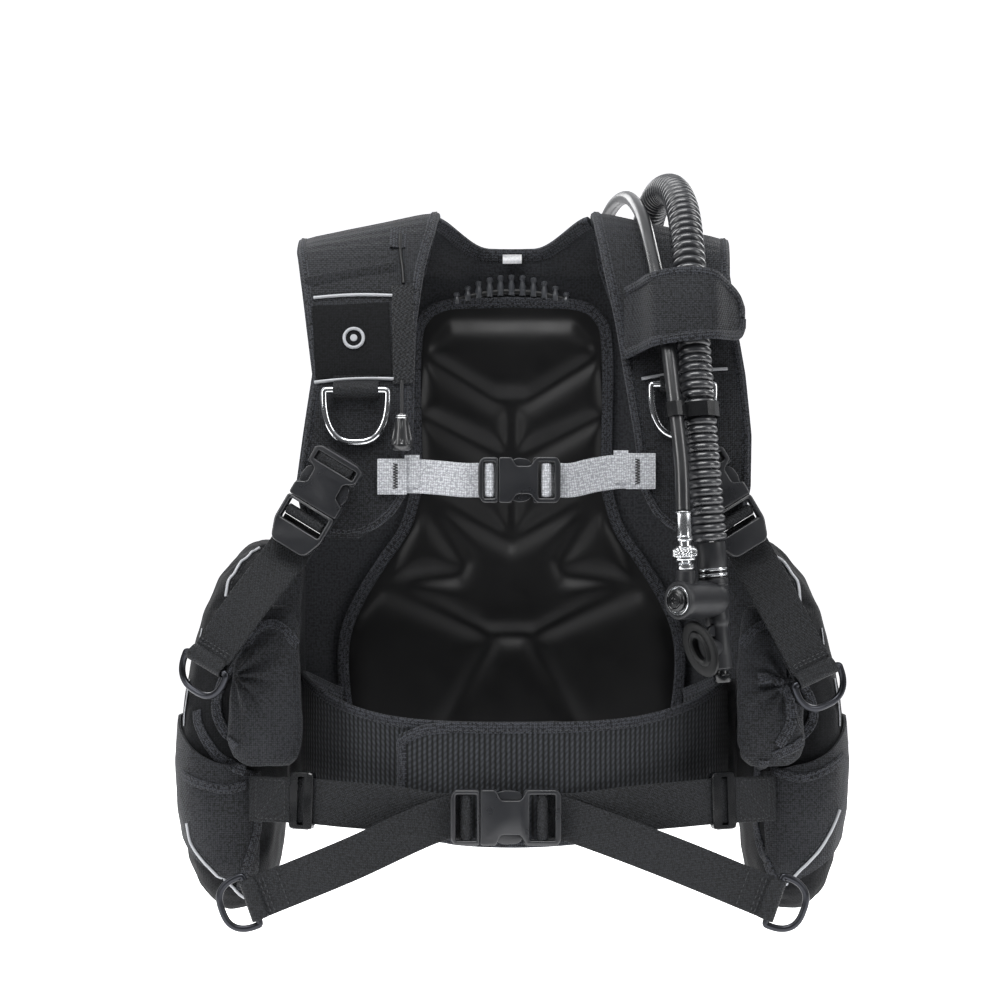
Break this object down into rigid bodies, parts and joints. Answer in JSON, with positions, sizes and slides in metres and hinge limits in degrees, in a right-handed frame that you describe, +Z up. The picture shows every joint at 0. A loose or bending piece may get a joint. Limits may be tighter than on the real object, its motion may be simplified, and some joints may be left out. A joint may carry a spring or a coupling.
{
  "type": "buoyancy compensator vest",
  "caption": "Scuba diving vest with inflatable sides, padded back, cummerbund, quick-release straps, power inflator hose, dump valves and a tank band.",
  "frame": {"origin": "midway between the two shoulder straps, at the height where the vest rests on the wearer's shoulders", "axes": "+Z up, +X towards the wearer's left, -Y the front of the vest and +Y the side that carries the cylinder"},
  "size_m": [0.616, 0.5492, 0.6747],
  "materials": {
    "panel_fabric": "woven nylon, matt",
    "back_foam": "smooth moulded foam cover, satin",
    "ribbed_elastic": "ribbed knit, matt",
    "black_webbing": "woven webbing, matt",
    "grey_webbing": "woven webbing, matt",
    "moulded_plastic": "satin",
    "black_rubber": "satin",
    "bright_steel": "polished"
  },
  "bodies": {
    "vest": {"back_panel": "panel_fabric", "air_cell": "panel_fabric", "shoulder_strap_right": "panel_fabric", "shoulder_strap_left": "panel_fabric", "side_lobe_right": "panel_fabric", "side_lobe_left": "panel_fabric", "pocket_right": "panel_fabric", "pocket_left": "panel_fabric", "weight_pouch_right": "panel_fabric", "weight_pouch_left": "panel_fabric", "hose_flap": "panel_fabric", "back_pad": "back_foam", "cummerbund_right": "ribbed_elastic", "cummerbund_left": "ribbed_elastic", "waist_strap_right": "black_webbing", "waist_strap_left": "black_webbing", "waist_tail_left": "black_webbing", "buckle_anchor_right": "black_webbing", "buckle_anchor_left": "black_webbing", "tank_band": "black_webbing", "carry_handle": "black_webbing", "chest_strap_right": "grey_webbing", "chest_strap_left": "grey_webbing", "waist_buckle_female": "moulded_plastic", "chest_buckle_female": "moulded_plastic", "shoulder_buckle_female_right": "moulded_plastic", "shoulder_buckle_female_left": "moulded_plastic", "hose_elbow": "moulded_plastic", "inflator_body": "moulded_plastic", "hose_clip": "moulded_plastic", "shoulder_dump_valve": "moulded_plastic", "rear_dump_valve": "moulded_plastic", "tank_backplate": "moulded_plastic", "cam_frame": "moulded_plastic", "air_hose": "black_rubber", "pressure_hose": "black_rubber", "mouthpiece": "black_rubber", "pad_rib_comb": "black_rubber", "coupler_stem": "bright_steel", "pressure_hose_fitting": "bright_steel"},
    "waist_clip": {"waist_buckle_male": "moulded_plastic", "waist_tail_right": "black_webbing"},
    "waist_pull_right": {"waist_ring_right": "moulded_plastic"},
    "waist_pull_left": {"waist_ring_left": "moulded_plastic"},
    "chest_clip": {"chest_buckle_male": "moulded_plastic"},
    "shoulder_clip_right": {"shoulder_buckle_male_right": "moulded_plastic", "shoulder_webbing_right": "black_webbing"},
    "shoulder_clip_left": {"shoulder_buckle_male_left": "moulded_plastic", "shoulder_webbing_left": "black_webbing"},
    "shoulder_pull_right": {"shoulder_ring_right": "moulded_plastic"},
    "shoulder_pull_left": {"shoulder_ring_left": "moulded_plastic"},
    "chest_hook_right": {"chest_ring_right": "bright_steel"},
    "chest_hook_left": {"chest_ring_left": "bright_steel"},
    "inflate_key": {"inflate_button": "moulded_plastic"},
    "exhaust_key": {"exhaust_button": "moulded_plastic"},
    "coupler_sleeve": {"coupler_collar": "bright_steel"},
    "band_lever": {"cam_lever": "moulded_plastic"},
    "adjuster_right": {"strap_slide_right": "moulded_plastic"},
    "adjuster_left": {"strap_slide_left": "moulded_plastic"},
    "dump_pull": {"dump_knob": "black_rubber"}
  },
  "joints": [
    {"name": "waist_buckle_release", "type": "slide", "parent": "vest", "child": "waist_clip", "axis": [-1, 0, 0], "range_m": [0, 0.036], "deforming": ["waist_strap_right"]},
    {"name": "chest_buckle_release", "type": "slide", "parent": "vest", "child": "chest_clip", "axis": [-1, 0, 0], "range_m": [0, 0.028], "deforming": ["chest_strap_right"]},
    {"name": "shoulder_buckle_release_right", "type": "slide", "parent": "vest", "child": "shoulder_clip_right", "axis": [-0.5094, 0.0499, -0.8591], "range_m": [0, 0.03]},
    {"name": "shoulder_buckle_release_left", "type": "slide", "parent": "vest", "child": "shoulder_clip_left", "axis": [0.5094, 0.0499, -0.8591], "range_m": [0, 0.03]},
    {"name": "chest_ring_swing_right", "type": "hinge", "parent": "vest", "child": "chest_hook_right", "pos_m": [-0.138, -0.11345, -0.156], "axis": [-1, 0, 0], "range_deg": [0, 110]},
    {"name": "chest_ring_swing_left", "type": "hinge", "parent": "vest", "child": "chest_hook_left", "pos_m": [0.15, -0.11313, -0.151], "axis": [-1, 0, 0], "range_deg": [0, 10]},
    {"name": "waist_ring_swing_right", "type": "hinge", "parent": "waist_clip", "child": "waist_pull_right", "pos_m": [-0.226, -0.156, -0.599], "axis": [-0.3489, 0, 0.9372], "range_deg": [-80, 80]},
    {"name": "waist_ring_swing_left", "type": "hinge", "parent": "vest", "child": "waist_pull_left", "pos_m": [0.226, -0.156, -0.599], "axis": [0.3489, 0, 0.9372], "range_deg": [-80, 80]},
    {"name": "shoulder_ring_swing_right", "type": "hinge", "parent": "shoulder_clip_right", "child": "shoulder_pull_right", "pos_m": [-0.266, -0.146, -0.394], "axis": [0.7706, -0.4869, -0.4113], "range_deg": [-60, 60]},
    {"name": "shoulder_ring_swing_left", "type": "hinge", "parent": "shoulder_clip_left", "child": "shoulder_pull_left", "pos_m": [0.264, -0.146, -0.405], "axis": [0.8533, 0.3701, 0.3672], "range_deg": [-60, 35]},
    {"name": "inflate_press", "type": "slide", "parent": "vest", "child": "inflate_key", "axis": [0.722, 0.6919, 0], "range_m": [0, 0.003], "stiffness_N_per_m": 600, "springref_m": -0.002},
    {"name": "exhaust_press", "type": "slide", "parent": "vest", "child": "exhaust_key", "axis": [-0.0879, 0.0293, 0.9957], "range_m": [0, 0.003], "stiffness_N_per_m": 600, "springref_m": -0.002},
    {"name": "coupler_pull_back", "type": "slide", "parent": "vest", "child": "coupler_sleeve", "axis": [-0.0393, 0.0589, 0.9975], "range_m": [0, 0.004], "stiffness_N_per_m": 900, "springref_m": -0.002},
    {"name": "band_lever_open", "type": "hinge", "parent": "vest", "child": "band_lever", "pos_m": [-0.022, 0.34265, -0.33], "axis": [0, 0, 1], "range_deg": [0, 135]},
    {"name": "waist_adjuster_right", "type": "slide", "parent": "vest", "child": "adjuster_right", "axis": [0.9489, -0.3143, -0.0282], "range_m": [-0.008, 0.008]},
    {"name": "waist_adjuster_left", "type": "slide", "parent": "vest", "child": "adjuster_left", "axis": [0.9489, 0.3143, 0.0282], "range_m": [-0.008, 0.008]},
    {"name": "dump_pull_down", "type": "slide", "parent": "vest", "child": "dump_pull", "axis": [0, -0.06, -0.9982], "range_m": [0, 0.015], "stiffness_N_per_m": 250, "springref_m": -0.006}
  ]
}
